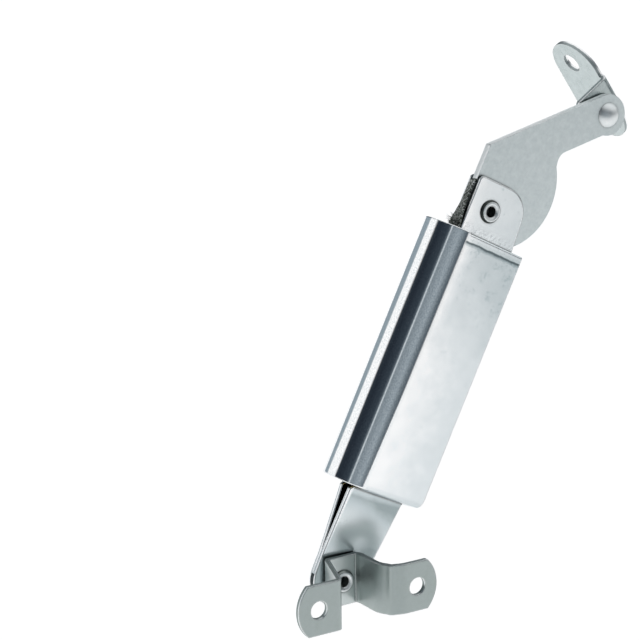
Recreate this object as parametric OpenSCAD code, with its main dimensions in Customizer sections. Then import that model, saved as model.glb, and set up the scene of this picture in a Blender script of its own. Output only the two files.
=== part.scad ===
// Spring-loaded chest lid stay: a pressed housing folded round its spring, an eccentric cam arm,
// a pull strap and compression spring in the round nose, and two riveted brackets.
// The wall plate is y = 0 and the stay stands off it along +Y. Z is up, X along the wall bracket.
// Pieces of the housing are drawn in the housing's own plane: x across, z from the lower
// pivot towards the cam pivot, y = 0 in the middle of the cam arm.

/* [Housing] */
// Lower pivot to cam pivot
pivot_span = 130; // [120:1:140]
// Lower pivot to the bottom edge of the spring housing
body_bottom = 31; // [29:0.5:34]
// Cam pivot down to the top edge of the nose
nose_drop = 9.4; // [9:0.1:10.5]
// Cam pivot axis to the centre line of the round nose
nose_x = 9.5; // [9.2:0.1:10]
// Cam pivot axis to the open back edge
back_reach = 14.5; // [14:0.1:17]
// Outside width over the two flat sides
body_w = 19; // [18.6:0.1:21]
// Sheet thickness of the housing
sheet = 1.5; // [1.3:0.05:1.6]
// Corner radius at the foot of the back edge
back_corner_r = 4; // [2:0.5:4.5]
// Corner radius where the back edge runs into the leg, and at the leg's toe
hip_r = 1; // [0.5:0.1:1.2]
// Bottom edge to the start of that back corner
hip_rise = 0.6; // [0.3:0.1:1]
// Inside radius of the pressed bends
bend_r = 0.8; // [0.5:0.1:1]

/* [Ears and legs] */
// Drop of the foot fold under the flat side, and of the toe's corner under the nose
fold_drop = 1; // [0.8:0.1:1.2]
toe_drop = 1.6; // [1.4:0.1:1.8]
// Corner radius of the notch between the ear and the flat side
notch_r = 0.5; // [0.3:0.1:0.8]
// Front edge of the ears, from the cam pivot axis
ear_front = 8.6; // [8:0.1:9]
// Height of the ears above the cam pivot
ear_top = 9.7; // [9:0.1:10.2]
// Back edge of the ears beside the cam pivot
ear_back = 13; // [12.5:0.1:13.5]
// Top front corner of the ears
ear_front_r = 1.5; // [1:0.1:2]
// Round top back corner of the ears
ear_round = 9; // [7:0.5:9]
// Play between the ears and the cam arm, each side
ear_play = 0.15; // [0.12:0.01:0.25]
// Slope of the pressed shelf between flat side and ear
step_rise = 0.4; // [0.3:0.1:1]
// Half distance between the outsides of the legs where they leave the housing
leg_spread = 3.3; // [3:0.1:4]
// Height above the lower pivot at which the legs come together
leg_meet = 7; // [6:0.5:9]
// Radius of the leg ends round the lower pivot
leg_r = 9.5; // [9:0.1:11]
// Front edge of the legs under the nose
leg_front = 10.7; // [10.5:0.1:11]
// Back edge of the legs under the housing
leg_back = 11.1; // [11:0.1:12]
// Gap between the two legs at the lower pivot
leg_gap = 0.06; // [0.04:0.01:0.1]

/* [Cam arm] */
// Plate thickness of the cam arm
arm_t = 2.6; // [2.4:0.1:3]
// Cam pivot to upper pivot, across the housing
reach_x = 32.1; // [31:0.5:34]
// Cam pivot to upper pivot, along the housing
reach_z = 46.8; // [45:0.5:49]
// Radius of the round cam
cam_r = 22; // [21.5:0.1:22.4]
// Centre of the cam from its pivot, across
cam_off_x = 2; // [1.8:0.1:2.3]
// Centre of the cam from its pivot, along
cam_off_z = 10.3; // [10.1:0.1:10.6]
// Straight front edge of the arm, from the cam pivot
arm_front = 8.7; // [8.5:0.1:8.9]
// Height of the front top corner above the cam pivot
arm_corner = 20.1; // [18.5:0.1:21]
// Radius of the arm's round end
arm_end_r = 7; // [6.8:0.1:7.5]
// Middle of the neck's round end down to the neck's lower edge
neck_low = 5.9; // [5.5:0.1:6.5]
// Fillet under the neck of the arm
neck_fillet = 4.2; // [3:0.2:4.6]
// Step from the end of that fillet back to the round of the cam
neck_step = 0.7; // [0.6:0.1:0.8]
// Radius of the arm's front top corner
heel_r = 1; // [0.5:0.1:2]

/* [Rivets and washers] */
// Shank diameter of the tubular rivets
rivet_d = 5.5; // [5:0.1:5.8]
// Diameter of the domed heads
head_d = 8.5; // [8:0.1:9.5]
// Height of the domed heads
head_h = 2.3; // [1.8:0.1:2.6]
// Outside diameter of the clinched rings
clinch_d = 7.7; // [7.5:0.1:8.2]
// Bore of the clinched rings
rivet_bore = 3.7; // [3:0.1:3.9]
// Running clearance of a rivet in its hole, on the radius
run_fit = 0.05; // [0.03:0.01:0.08]
// Wall of the sleeve that the cam arm turns on
sleeve_wall = 1.2; // [1:0.1:1.4]
// Washer thickness
washer_t = 0.8; // [0.6:0.1:1]
// Washer outside diameter
washer_d = 11; // [10:0.5:12]
// Gap left beside a washer or bracket that turns
side_play = 0.1; // [0.08:0.01:0.15]

/* [Wall bracket] */
// Width of the bracket strip
wall_strip = 17; // [15:0.5:19]
// Sheet thickness of both brackets
bracket_t = 1.6; // [1.4:0.1:2]
// Hole spacing of the wall bracket
wall_holes = 37; // [35:0.5:41]
// Web face to wall face
hat_depth = 17; // [15:0.5:19]
// Half width of the web between its bends
web_half = 6.2; // [5.8:0.1:6.6]
// Sideways lean of the right riser
right_lean = 3.2; // [2.5:0.1:4]
// Sideways lean of the left riser
left_lean = 5.6; // [5:0.1:6]
// Middle of the feet to the left of the rivet
foot_shift = 0.7; // [0:0.1:1]
// Middle of the bracket to the tips of its feet
foot_reach = 26; // [25.8:0.1:28]
// Radius of the curved foot ends
foot_end_r = 12; // [11:0.5:14]
// Inside radius of the bracket bends
hat_bend_r = 2; // [1.5:0.1:2.5]
// Screw hole diameter in the wall bracket
screw_hole = 6; // [5:0.1:6.5]

/* [Lid bracket] */
// Hole spacing of the lid bracket
lid_holes = 24; // [22:0.5:26]
// Ear to the middle line of the flange
lid_flange_mid = 13.7; // [13:0.1:15]
// Line of the holes beyond the flange's middle line
lid_row_out = 1; // [0:0.1:1.5]
// Screw hole diameter in the lid bracket
lid_screw = 7; // [6:0.1:7.5]
// Radius of the flange's round ends
lid_end_r = 10.8; // [10:0.1:11]
// Half length of the flange
lid_half = 20.4; // [20:0.1:24]
// Middle of the lid bracket to the front of the rivet
lid_shift = 2.1; // [0:0.1:2.5]
// Width of the riveted ear
lid_ear_w = 14.4; // [14:0.1:17]
// Pivot to the inside face of the flange
lid_stand = 7.6; // [7.4:0.1:8]
// Pivot to the shoulders of the ear's tip
lid_ear_drop = 5.2; // [5:0.1:6]
// Pivot to the flat tip of the ear
lid_ear_tip = 9.2; // [8.5:0.1:10]
// Half width of the flat tip
lid_tip_half = 3.6; // [3:0.1:4]
// Turn of the lid bracket from the housing's long axis
lid_turn = 28.4; // [20:0.2:36]

/* [Spring and strap] */
// Wire diameter of the spring
wire_d = 2; // [1.8:0.1:2.1]
// Room between the spring's coils and the inside of the nose
coil_play = 0.8; // [0.7:0.05:0.9]
// Number of spring turns
turns = 13; // [10:1:14]
// Cam pivot down to the spring's upper seat
seat_drop = 28; // [27:0.5:30]
// Thickness of the seat sheet
seat_t = 1.5; // [1.2:0.1:1.8]
// Woven pull strap, thickness
strap_t = 0.8; // [0.6:0.1:1]
// Strap width where it comes out between the ears
strap_neck = 2.5; // [2.2:0.1:2.6]
// Radius of the crimped barrel on the strap's upper end
nipple_r = 2.2; // [2:0.1:2.3]
// Height of that barrel above the cam pivot, and its place in front of the pivots' line
nipple_up = 5; // [4.8:0.1:5.2]
nipple_front = 4.2; // [4:0.1:4.4]
// Height above the cam pivot where the strap leaves the arm's edge
lip_up = 7.8; // [7.5:0.1:8.1]
// Bend radius of the strap
strap_bend_r = 0.8; // [0.7:0.05:0.9]
// Heights above the nose where the strap starts to spread and where it has its full width
neck_up = 9; // [8.5:0.1:9.5]
spread_up = 1.5; // [1.2:0.1:1.8]
// Room between the strap's stop and the inside of the spring, for the cap's boss
stop_room = 1.2; // [1.1:0.05:1.3]
// Rim of the stop beside the strap, and its moulding below the strap's end
stop_rim = 0.9; // [0.8:0.05:1]
stop_floor = 1.5; // [1.2:0.1:1.8]
// Gap between the turns that lie closed at the spring's ends
closed_gap = 0.45; // [0.4:0.05:0.5]
// Room between the pull cap and the inside of the nose
cap_play = 0.8; // [0.7:0.1:1]
// Flange thickness of the pull cap
cap_t = 2.2; // [2:0.1:2.6]
// Height of the cap's boss inside the spring
boss_h = 5; // [4:0.5:6]
// Loose fit of the inner pieces in the housing
inner_fit = 0.2; // [0.15:0.05:0.3]

/* [Pose] */
// Lean of the housing from upright
lean = 27; // [0:1:60]

/* [Hidden] */
$fn = 64;
// Long enough to cut right through a sheet
through = 60;
// Height of the cam pivot and of the nose's top edge above the lower pivot
cam_z = pivot_span;
nose_top = cam_z - nose_drop;
// Outer faces of the flat sides and of the ears from the middle plane
flat_y = body_w / 2;
ear_in = arm_t / 2 + ear_play;
ear_y = ear_in + sheet;
// Where the flat side folds in to the ear
fold_z = nose_top - step_rise;
// Legs at the lower pivot
leg_y = leg_gap / 2 + sheet;
// Web of the wall bracket and the distance from the wall to the middle plane
web_in = leg_y + side_play + washer_t + side_play;
web_out = web_in + bracket_t;
plate_y = web_out + hat_depth;
// Lid bracket's ear, on the room side of the arm
lid_in = arm_t / 2 + side_play + washer_t + side_play;
lid_out = lid_in + bracket_t;
// Direction of the neck and the upper pivot
neck_len = norm([reach_x + arm_front, reach_z - arm_corner]);
neck_dir = atan2(reach_z - arm_corner, reach_x + arm_front) + asin(arm_end_r / neck_len);
// Spring column: its axis, seats and the cap's place
inner_r = flat_y - sheet;
coil_out = inner_r - coil_play;
coil_r = coil_out - wire_d / 2;
coil_in = coil_out - wire_d;
cap_r = inner_r - cap_play;
// Stop and strap as wide as the spring leaves room for
stop_r = coil_in - stop_room;
strap_w = 2 * (stop_r - stop_rim);
coil_x = -nose_x;
seat_z = cam_z - seat_drop;
cap_z = body_bottom + sheet + inner_fit;
spring_low = cap_z + cap_t;
spring_len = seat_z - spring_low;
// Keyhole for the strap's barrel, between the ears
nipple_x = -nipple_front;
nipple_z = cam_z + nipple_up;
// The strap comes out over the arm's front edge and runs down the middle of the spring
lip_x = -arm_front - inner_fit / 2 - strap_t / 2;
lip_z = cam_z + lip_up;
// Heights between which it spreads from its neck to its full width
neck_z = nose_top + neck_up;
wide_z = nose_top + spread_up;
// Where the straight run of the strap ends, inside the stop
strap_end = cap_z + stop_floor;
sleeve_r = rivet_d / 2 + sleeve_wall;
// Colours of the finished metal and of the strap
zinc = [0.80, 0.82, 0.83];
zinc_dark = [0.66, 0.69, 0.70];
spring_steel = [0.45, 0.46, 0.48];
brass_dull = [0.60, 0.55, 0.42];
strap_green = [0.22, 0.25, 0.20];

// Unit vector, left normal and turn of a path
function unit(v) = v / norm(v);
function left(v) = [-v.y, v.x];
function turn(a, b) = a.x * b.y - a.y * b.x;

// Rounded corner of radius r at p between directions a and b, as points
function corner(p, a, b, r) =
    let (half = abs(acos(max(-1, min(1, a * b)))) / 2, side = turn(a, b) > 0 ? 1 : -1)
    r <= 0 || half < 0.5 ? [p] :
    let (run = r * tan(half), c = p - a * run + left(a) * side * r, steps = max(3, ceil(half / 4)))
    [for (i = [0 : steps]) let (s = side * 2 * half * i / steps)
        c - side * r * [left(a).x * cos(s) - left(a).y * sin(s), left(a).x * sin(s) + left(a).y * cos(s)]];

// Points on the arc of radius r round c from angle a0 to a1
function arc(c, r, a0, a1, n) = [for (i = [0 : n]) let (a = a0 + (a1 - a0) * i / n) c + r * [cos(a), sin(a)]];

// Open path through points p, its inner corners rounded by radii r
function rounded(p, r) = [for (i = [0 : len(p) - 1])
    each (i == 0 || i == len(p) - 1 ? [p[i]] :
        corner(p[i], unit(p[i] - p[i - 1]), unit(p[i + 1] - p[i]), r[i]))];

// Closed outline through points p, all its corners rounded by radii r
function outline(p, r) = let (n = len(p)) [for (i = [0 : n - 1])
    each corner(p[i], unit(p[i] - p[(i + n - 1) % n]), unit(p[(i + 1) % n] - p[i]), r[i])];

// Path p moved t to its left
function beside(p, t) = [for (i = [0 : len(p) - 1])
    i == 0 ? p[0] + t * left(unit(p[1] - p[0])) :
    i == len(p) - 1 ? p[i] + t * left(unit(p[i] - p[i - 1])) :
    let (a = left(unit(p[i] - p[i - 1])), b = left(unit(p[i + 1] - p[i]))) p[i] + t * (a + b) / (1 + a * b)];

// Section of a sheet of thickness t on the left of path p, every bend with inside radius r
function strip(p, t, r) =
    let (sides = [for (i = [0 : len(p) - 1]) i == 0 || i == len(p) - 1 ? 0 :
        turn(p[i] - p[i - 1], p[i + 1] - p[i])],
        near = rounded(p, [for (s = sides) s > 0 ? r + t : r]),
        far = rounded(beside(p, t), [for (s = sides) s > 0 ? r : r + t]))
    concat(near, [for (i = [len(far) - 1 : -1 : 0]) far[i]]);

// Point where a line from p touches the circle of radius r round c, on side s
function touch(p, c, r, s) = let (d = p - c, a = atan2(d.y, d.x) + s * acos(r / norm(d))) c + r * [cos(a), sin(a)];

// Moves from the housing's plane to the installed pose
module housing_place() {
    translate([0, plate_y, 0]) rotate([0, lean, 0]) children();
}

// Moves to the upper pivot, z towards the lid
module lid_place() {
    housing_place() translate([reach_x, 0, cam_z + reach_z]) rotate([0, lid_turn, 0]) children();
}

// A drawing in x and z, given thickness from y0 to y1
module plate_xz(y0, y1) {
    translate([0, y1, 0]) rotate([90, 0, 0]) linear_extrude(y1 - y0) children();
}

// A cylinder along y
module bar_y(r, y0, y1, x = 0, z = 0) {
    translate([x, y1, z]) rotate([90, 0, 0]) cylinder(r = r, h = y1 - y0);
}

// Outline of the nose and both sides in x and y, drawn in by t
module nose_outline(t) {
    translate([-nose_x, 0]) circle(flat_y - t);
    translate([-nose_x, t - flat_y]) square([back_reach + nose_x, 2 * (flat_y - t)]);
}

// Round nose, up to the front edge of the ears
module nose() {
    translate([0, 0, body_bottom]) linear_extrude(nose_top - body_bottom) intersection() {
        difference() {
            nose_outline(0);
            nose_outline(sheet);
        }
        translate([-2 * body_w - ear_front, -body_w]) square([2 * body_w, 2 * body_w]);
    }
}

// Flat side with its ear, shelf, foot fold and leg as one folded sheet, drawn in y and z
module folded_sheet() {
    path = [[-leg_y, -leg_r - 1], [-leg_y, leg_meet], [-leg_spread, body_bottom - fold_drop], [-flat_y, body_bottom],
        [-flat_y, fold_z], [-ear_y, nose_top], [-ear_y, cam_z + ear_top + 1]];
    translate([-body_w, 0, 0]) rotate([90, 0, 90]) linear_extrude(body_w + back_reach)
        polygon(strip(path, -sheet, bend_r));
}

// Outline of that sheet seen from the side, in x and z
module side_outline() {
    hip = [leg_back, body_bottom - fold_drop];
    toe = [-leg_front, body_bottom - toe_drop];
    back = touch(hip, [0, 0], leg_r, -1);
    front = touch(toe, [0, 0], leg_r, 1);
    upper = [[-ear_front, nose_top], [-ear_front, cam_z + ear_top], [ear_back, cam_z + ear_top],
        [back_reach, nose_top], [back_reach, body_bottom + hip_rise], hip, back];
    lower = [front, toe, [-ear_front, body_bottom]];
    front_turn = atan2(front.y, front.x);
    foot = arc([0, 0], leg_r, atan2(back.y, back.x), front_turn - (front_turn > 0 ? 360 : 0), 40);
    polygon(concat(rounded(upper, [0, ear_front_r, ear_round, notch_r, back_corner_r, hip_r, 0]),
        [for (i = [1 : len(foot) - 2]) foot[i]], rounded(lower, [0, hip_r, 0])));
}

// One side of the housing: flat side, ear and leg
module side() {
    intersection() {
        folded_sheet();
        plate_xz(-flat_y - 1, 0) side_outline();
        // in front of the ears' edge the foot fold ends inside the nose's wall
        translate([0, 0, -through]) linear_extrude(2 * pivot_span + through)
            polygon([[-leg_front - 1, 0], [-leg_front - 1, sheet / 2 - flat_y], [-ear_front, sheet / 2 - flat_y],
                [-ear_front, -flat_y - 1], [back_reach + 1, -flat_y - 1], [back_reach + 1, 0]]);
    }
}

// Housing folded from one sheet round the nose, open at the back
module spring_housing() {
    color(zinc) housing_place() difference() {
        union() {
            nose();
            side();
            mirror([0, 1, 0]) side();
        }
        bar_y(rivet_d / 2, -through, through);
        bar_y(rivet_d / 2, -through, through, z = cam_z);
    }
}

// Tubular rivet along +y: domed head under y0, clinched ring beyond y1
module rivet(y0, y1) {
    dome = (head_d * head_d / 4 + head_h * head_h) / (2 * head_h);
    ring = (clinch_d - rivet_bore) / 4;
    difference() {
        union() {
            intersection() {
                translate([0, y0 + dome - head_h, 0]) sphere(dome, $fn = 96);
                bar_y(head_d / 2, y0 - head_h - 1, y0);
            }
            bar_y(rivet_d / 2, y0 - head_h / 2, y1 + ring / 2);
            translate([0, y1, 0]) rotate([-90, 0, 0]) rotate_extrude() intersection() {
                translate([rivet_bore / 2 + ring, 0]) circle(ring);
                square([clinch_d, clinch_d]);
            }
        }
        bar_y(rivet_bore / 2, y1 - bracket_t - sheet, y1 + 3 * ring);
    }
}

// Flat washer along y
module washer(y0, y1) {
    difference() {
        bar_y(washer_d / 2, y0, y1);
        bar_y(rivet_d / 2 + run_fit, y0 - 1, y1 + 1);
    }
}

module lower_rivet() {
    color(zinc) housing_place() mirror([0, 1, 0]) rivet(-leg_y, web_out + side_play);
}

module lower_washer() {
    color(zinc_dark) housing_place() mirror([0, 1, 0])
        washer(leg_y + side_play / 2, leg_y + side_play / 2 + washer_t);
}

module cam_rivet() {
    color(zinc) housing_place() translate([0, 0, cam_z]) mirror([0, 1, 0]) rivet(-ear_y, ear_y);
}

// Sleeve held between the ears, on which the cam arm turns
module cam_sleeve() {
    color(zinc_dark) housing_place() difference() {
        bar_y(sleeve_r, -ear_in, ear_in, z = cam_z);
        bar_y(rivet_d / 2, -through, through, z = cam_z);
    }
}

// Saddle that carries the spring's upper end and bears under the ears' steps
module spring_seat() {
    edge = flat_y - sheet - inner_fit / 2;
    cheek = flat_y - sheet - bend_r;
    back = coil_x + coil_out;
    slot = [strap_t + 4 * inner_fit, strap_w + 4 * inner_fit];
    color(zinc_dark) housing_place() {
        translate([0, 0, seat_z]) linear_extrude(seat_t) difference() {
            union() {
                translate([coil_x, 0]) circle(edge);
                translate([coil_x, -edge]) square([back - coil_x, 2 * edge]);
            }
            translate([coil_x, 0]) square(slot, center = true);
        }
        for (s = [-1, 1]) translate([-ear_front, s > 0 ? cheek - seat_t : -cheek, seat_z + seat_t / 2])
            cube([back + ear_front, seat_t, fold_z - sheet - seat_z - seat_t / 2]);
    }
}

// Outline of the cam arm: round cam cut straight in front, and the neck to the upper pivot
module arm_outline() {
    end = [reach_x, cam_z + reach_z];
    middle = [cam_off_x, cam_z + cam_off_z];
    heel = [-arm_front, cam_z + arm_corner];
    dir = [cos(neck_dir), sin(neck_dir)];
    under = end - neck_low * left(dir);
    end_turn = acos(neck_low / arm_end_r);
    // the neck's fillet ends in a small corner on the round of the cam
    lip_turn = 36;
    lip_step = 2.5;
    front_turn = -acos(-(arm_front + cam_off_x) / cam_r);
    lip = middle + cam_r * [cos(lip_turn), sin(lip_turn)];
    root = under - dir * (under.x - lip.x + neck_step) / dir.x;
    polygon(concat(corner(heel, [0, 1], dir, heel_r),
        arc(end, arm_end_r, neck_dir + 90, neck_dir - 90 - end_turn, 40),
        corner(root, -dir, unit(lip - root), neck_fillet), [lip],
        arc(middle, cam_r, lip_turn - lip_step, front_turn, 61)));
}

module cam_arm() {
    slot_turn = atan2(lip_z - nipple_z, lip_x - nipple_x);
    slot_w = strap_t + inner_fit;
    color(zinc_dark) housing_place() difference() {
        plate_xz(-arm_t / 2, arm_t / 2) arm_outline();
        bar_y(sleeve_r + run_fit, -through, through, z = cam_z);
        bar_y(rivet_d / 2, -through, through, x = reach_x, z = cam_z + reach_z);
        // keyhole for the strap's barrel, open to the front edge
        bar_y(nipple_r + inner_fit / 2, -through, through, nipple_x, nipple_z);
        translate([nipple_x, 0, nipple_z]) rotate([0, -slot_turn, 0])
            translate([0, -arm_t, -slot_w / 2]) cube([2 * arm_front, 2 * arm_t, slot_w]);
    }
}

module upper_rivet() {
    color(zinc) housing_place() translate([reach_x, 0, cam_z + reach_z]) rivet(-arm_t / 2, lid_out + side_play);
}

module upper_washer() {
    color(zinc_dark) housing_place() translate([reach_x, 0, cam_z + reach_z])
        washer(arm_t / 2 + side_play / 2, arm_t / 2 + side_play / 2 + washer_t);
}

// Crimped barrel in the arm's keyhole
module strap_nipple() {
    color(brass_dull) housing_place() difference() {
        bar_y(nipple_r, -arm_t / 2, arm_t / 2, nipple_x, nipple_z);
        strap_solid(0.02);
    }
}

// The strap from its barrel over the arm's edge, down into the nose and on to the stop
module strap_solid(grow = 0) {
    half = strap_t / 2 + grow;
    neck = strap_neck / 2 + grow;
    wide = strap_w / 2 + grow;
    way = [[nipple_x, nipple_z], [lip_x, lip_z], [coil_x, nose_top], [coil_x, strap_end]];
    intersection() {
        plate_xz(-wide, wide) polygon(strip(beside(way, half), -2 * half, strap_bend_r));
        // the webbing is folded narrow between the ears and spreads towards the nose
        translate([-through, 0, 0]) rotate([90, 0, 90]) linear_extrude(2 * through)
            polygon([[-neck, 2 * cam_z], [-neck, neck_z], [-wide, wide_z], [-wide, 0],
                [wide, 0], [wide, wide_z], [neck, neck_z], [neck, 2 * cam_z]]);
    }
}

module pull_strap() {
    color(strap_green) housing_place() strap_solid();
}

// Cap that the strap pulls up against the spring
module spring_cap() {
    // clears the flats of the coiled wire
    boss_r = coil_in * cos(180 / per_turn) - inner_fit / 2;
    color(zinc_dark) housing_place() translate([coil_x, 0, cap_z]) difference() {
        union() {
            cylinder(r = cap_r, h = cap_t);
            cylinder(r = boss_r, h = cap_t + boss_h);
        }
        translate([0, 0, -1]) cylinder(r = stop_r + inner_fit / 2, h = boss_h + 1);
        cylinder(r = norm([strap_w, strap_t]) / 2 + inner_fit, h = through);
    }
}

// Stop moulded on the strap's lower end, inside the cap
module strap_stop() {
    color(brass_dull) housing_place() difference() {
        translate([coil_x, 0, cap_z]) cylinder(r = stop_r, h = boss_h - inner_fit);
        strap_solid(0.02);
    }
}

// Ring of the wire's six corners round the coil at turn angle a and height z
function wire_ring(a, z) = [for (k = [0 : 5]) let (r = coil_r + wire_d / 2 * cos(60 * k))
    [r * cos(a), r * sin(a), z + wire_d / 2 * sin(60 * k)]];

// Straight steps in one turn of the drawn wire
per_turn = 8;
// Spring height at turn t of the whole: the end turns lie closed, the rest rise evenly
closed = 1;
closed_rise = wire_d + closed_gap;
open_rise = (spring_len - wire_d - 2 * closed * closed_rise) / (turns - 2 * closed);
function coil_height(t) = wire_d / 2 + (t < closed ? t * closed_rise :
    t > turns - closed ? spring_len - wire_d - (turns - t) * closed_rise :
    closed * closed_rise + (t - closed) * open_rise);

module compression_spring() {
    count = turns * per_turn;
    points = [for (i = [0 : count]) each wire_ring(360 * i / per_turn, coil_height(i / per_turn))];
    side = [for (i = [0 : count - 1], k = [0 : 5]) let (a = 6 * i + k, b = 6 * i + (k + 1) % 6)
        each [[a, a + 6, b], [b, a + 6, b + 6]]];
    ends = [for (k = [1 : 4]) each [[0, k, k + 1], [6 * count, 6 * count + k + 1, 6 * count + k]]];
    color(spring_steel) housing_place() translate([coil_x, 0, spring_low])
        polyhedron(points = points, faces = concat(side, ends));
    echo(least_gap = min([for (i = [0 : per_turn : count - per_turn])
        coil_height((i + per_turn) / per_turn) - coil_height(i / per_turn) - wire_d]));
}

// Hat-shaped wall bracket: web on the rivet, two risers and two feet against the wall
module wall_bracket() {
    foot_y = bracket_t - plate_y;
    path = [[-foot_reach - foot_shift, foot_y], [-web_half - left_lean, foot_y], [-web_half, -web_in],
        [web_half, -web_in], [web_half + right_lean, foot_y], [foot_reach, foot_y]];
    color(zinc) translate([0, plate_y, 0]) difference() {
        intersection() {
            translate([0, 0, -wall_strip / 2]) linear_extrude(wall_strip)
                polygon(strip(path, -bracket_t, hat_bend_r));
            // feet end in shallow arcs
            translate([-foot_shift, 0, 0]) union() {
                for (s = [-1, 1]) bar_y(foot_end_r, -through, through, x = s * (foot_reach - foot_end_r));
                translate([foot_end_r - foot_reach, -through, -foot_end_r])
                    cube([2 * (foot_reach - foot_end_r), 2 * through, 2 * foot_end_r]);
            }
        }
        for (s = [-1, 1]) bar_y(screw_hole / 2, -through, 0, x = s * wall_holes / 2 - foot_shift);
        bar_y(rivet_d / 2 + run_fit, -through, through);
    }
}

// Lid bracket: oblong flange with two screw holes and an ear bent down to the rivet
module lid_bracket() {
    color(zinc) lid_place() difference() {
        union() {
            lid_ear();
            lid_flange();
        }
        bar_y(rivet_d / 2 + run_fit, -through, through);
        for (s = [-1, 1]) translate([s * lid_holes / 2 - lid_shift, lid_in + lid_flange_mid + lid_row_out, 0])
            cylinder(d = lid_screw, h = through);
    }
}

// Ear with a clipped tip, up to the start of the bend
module lid_ear() {
    half = lid_ear_w / 2;
    top = lid_stand - bend_r;
    tip = [[-half, -lid_ear_drop], [-lid_tip_half, -lid_ear_tip], [lid_tip_half, -lid_ear_tip],
        [half, -lid_ear_drop], [half, top], [-half, top]];
    plate_xz(lid_in, lid_out) translate([-lid_shift, 0]) polygon(outline(tip, [1, 2, 2, 1, 0, 0]));
}

// Flange with its round ends, and the bend that joins it to the ear
module lid_flange() {
    middle = lid_in + lid_flange_mid;
    fillet = bend_r + bracket_t;
    arm_x = lid_half - lid_end_r;
    translate([-lid_shift, 0, 0]) {
        translate([0, 0, lid_stand]) linear_extrude(bracket_t) {
            for (s = [-1, 1]) translate([s * arm_x, middle]) circle(lid_end_r);
            translate([-arm_x, middle - lid_end_r]) square([2 * arm_x, 2 * lid_end_r]);
            translate([-lid_ear_w / 2, lid_in + fillet]) square([lid_ear_w, lid_flange_mid]);
        }
        translate([-lid_ear_w / 2, lid_in + fillet, lid_stand - bend_r]) rotate([0, 90, 0]) linear_extrude(lid_ear_w)
            intersection() {
                difference() {
                    circle(fillet);
                    circle(bend_r);
                }
                translate([-fillet, -fillet]) square(fillet);
            }
    }
}

wall_bracket();
spring_housing();
lower_rivet();
lower_washer();
cam_rivet();
cam_sleeve();
spring_seat();
cam_arm();
upper_rivet();
upper_washer();
strap_nipple();
pull_strap();
spring_cap();
strap_stop();
compression_spring();
lid_bracket();
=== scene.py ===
import bmesh
import bpy
import math
import numpy as np
from mathutils import Matrix, Vector


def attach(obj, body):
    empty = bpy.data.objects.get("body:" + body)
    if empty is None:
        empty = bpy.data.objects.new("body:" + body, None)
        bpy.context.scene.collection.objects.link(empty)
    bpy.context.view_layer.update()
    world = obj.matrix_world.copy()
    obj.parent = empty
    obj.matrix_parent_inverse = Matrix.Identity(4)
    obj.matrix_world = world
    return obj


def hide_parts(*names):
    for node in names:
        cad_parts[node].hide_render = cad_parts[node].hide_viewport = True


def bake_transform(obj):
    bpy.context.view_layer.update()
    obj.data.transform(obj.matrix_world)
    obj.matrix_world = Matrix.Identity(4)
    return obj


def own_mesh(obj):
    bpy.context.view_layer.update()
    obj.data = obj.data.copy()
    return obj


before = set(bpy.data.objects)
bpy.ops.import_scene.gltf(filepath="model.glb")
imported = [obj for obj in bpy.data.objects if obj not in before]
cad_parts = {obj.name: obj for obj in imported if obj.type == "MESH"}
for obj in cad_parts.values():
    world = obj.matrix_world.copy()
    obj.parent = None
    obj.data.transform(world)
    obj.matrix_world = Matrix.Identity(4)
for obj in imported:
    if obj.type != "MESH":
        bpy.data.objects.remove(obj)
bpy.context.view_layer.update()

# Wall bracket
# A strip of 1.6 mm sheet steel, pierced, cut to length and bent in one stroke into a hat shape,
# then zinc plated in the barrel. The lower rivet holds it loosely to the housing's legs.
MM = 0.001
LEAN = math.radians(27)
PLATE_Y = 21.13 * MM
# Across the leaning housing, along it from the lower pivot, and towards the wall
W = Vector((math.cos(LEAN), 0, -math.sin(LEAN)))
U = Vector((math.sin(LEAN), 0, math.cos(LEAN)))
N = Vector((0, -1, 0))
# In mm: the middle of the sheet in the feet and in the web, and the stretch of the right half that is
# bent anew
FOOT_MIDDLE, WEB_MIDDLE, BENT_FROM, BENT_TO = 0.8, 17.8, 3, 14.4


def linear(hex_colour):
    """sRGB hex to linear RGBA: c/12.92 up to 0.04045, else ((c + 0.055)/1.055) to the power 2.4."""
    c = np.array([int(hex_colour[i:i + 2], 16) for i in (1, 3, 5)]) / 255
    c = np.where(c <= 0.04045, c / 12.92, ((c + 0.055) / 1.055) ** 2.4)
    return (*map(float, c), 1.0)


def node(tree, kind, links=None, stops=(), **settings):
    """Adds a shader node and returns its first output. A setting named like a socket sets the socket,
    and any other the node. Links name sockets or their numbers; stops are a ramp's places and colours."""
    n = tree.nodes.new("ShaderNode" + kind)
    for key, value in settings.items():
        name = key.replace("_", " ")
        if name in n.inputs:
            n.inputs[name].default_value = linear(value) if isinstance(value, str) else value
        else:
            setattr(n, key, value)
    for i, (place, tone) in enumerate(stops):
        stop = n.color_ramp.elements[i] if i < 2 else n.color_ramp.elements.new(place)
        stop.position, stop.color = place, linear(tone)
    for key, source in (links or {}).items():
        tree.links.new(source, n.inputs[key])
    return n.outputs[0] if n.outputs else n


def blank(name):
    """A new material without nodes, and its tree."""
    m = bpy.data.materials.new(name)
    m.use_nodes = True
    m.node_tree.nodes.clear()
    return m, m.node_tree


def housing_place(tree):
    """Object coordinates turned into the housing's own axes: X across it, Y through it, Z along it."""
    at = node(tree, "TexCoord").node.outputs["Object"]
    return node(tree, "Mapping", {"Vector": at}, vector_type="TEXTURE",
                Location=(0, PLATE_Y, 0), Rotation=(0, LEAN, 0))


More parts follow.
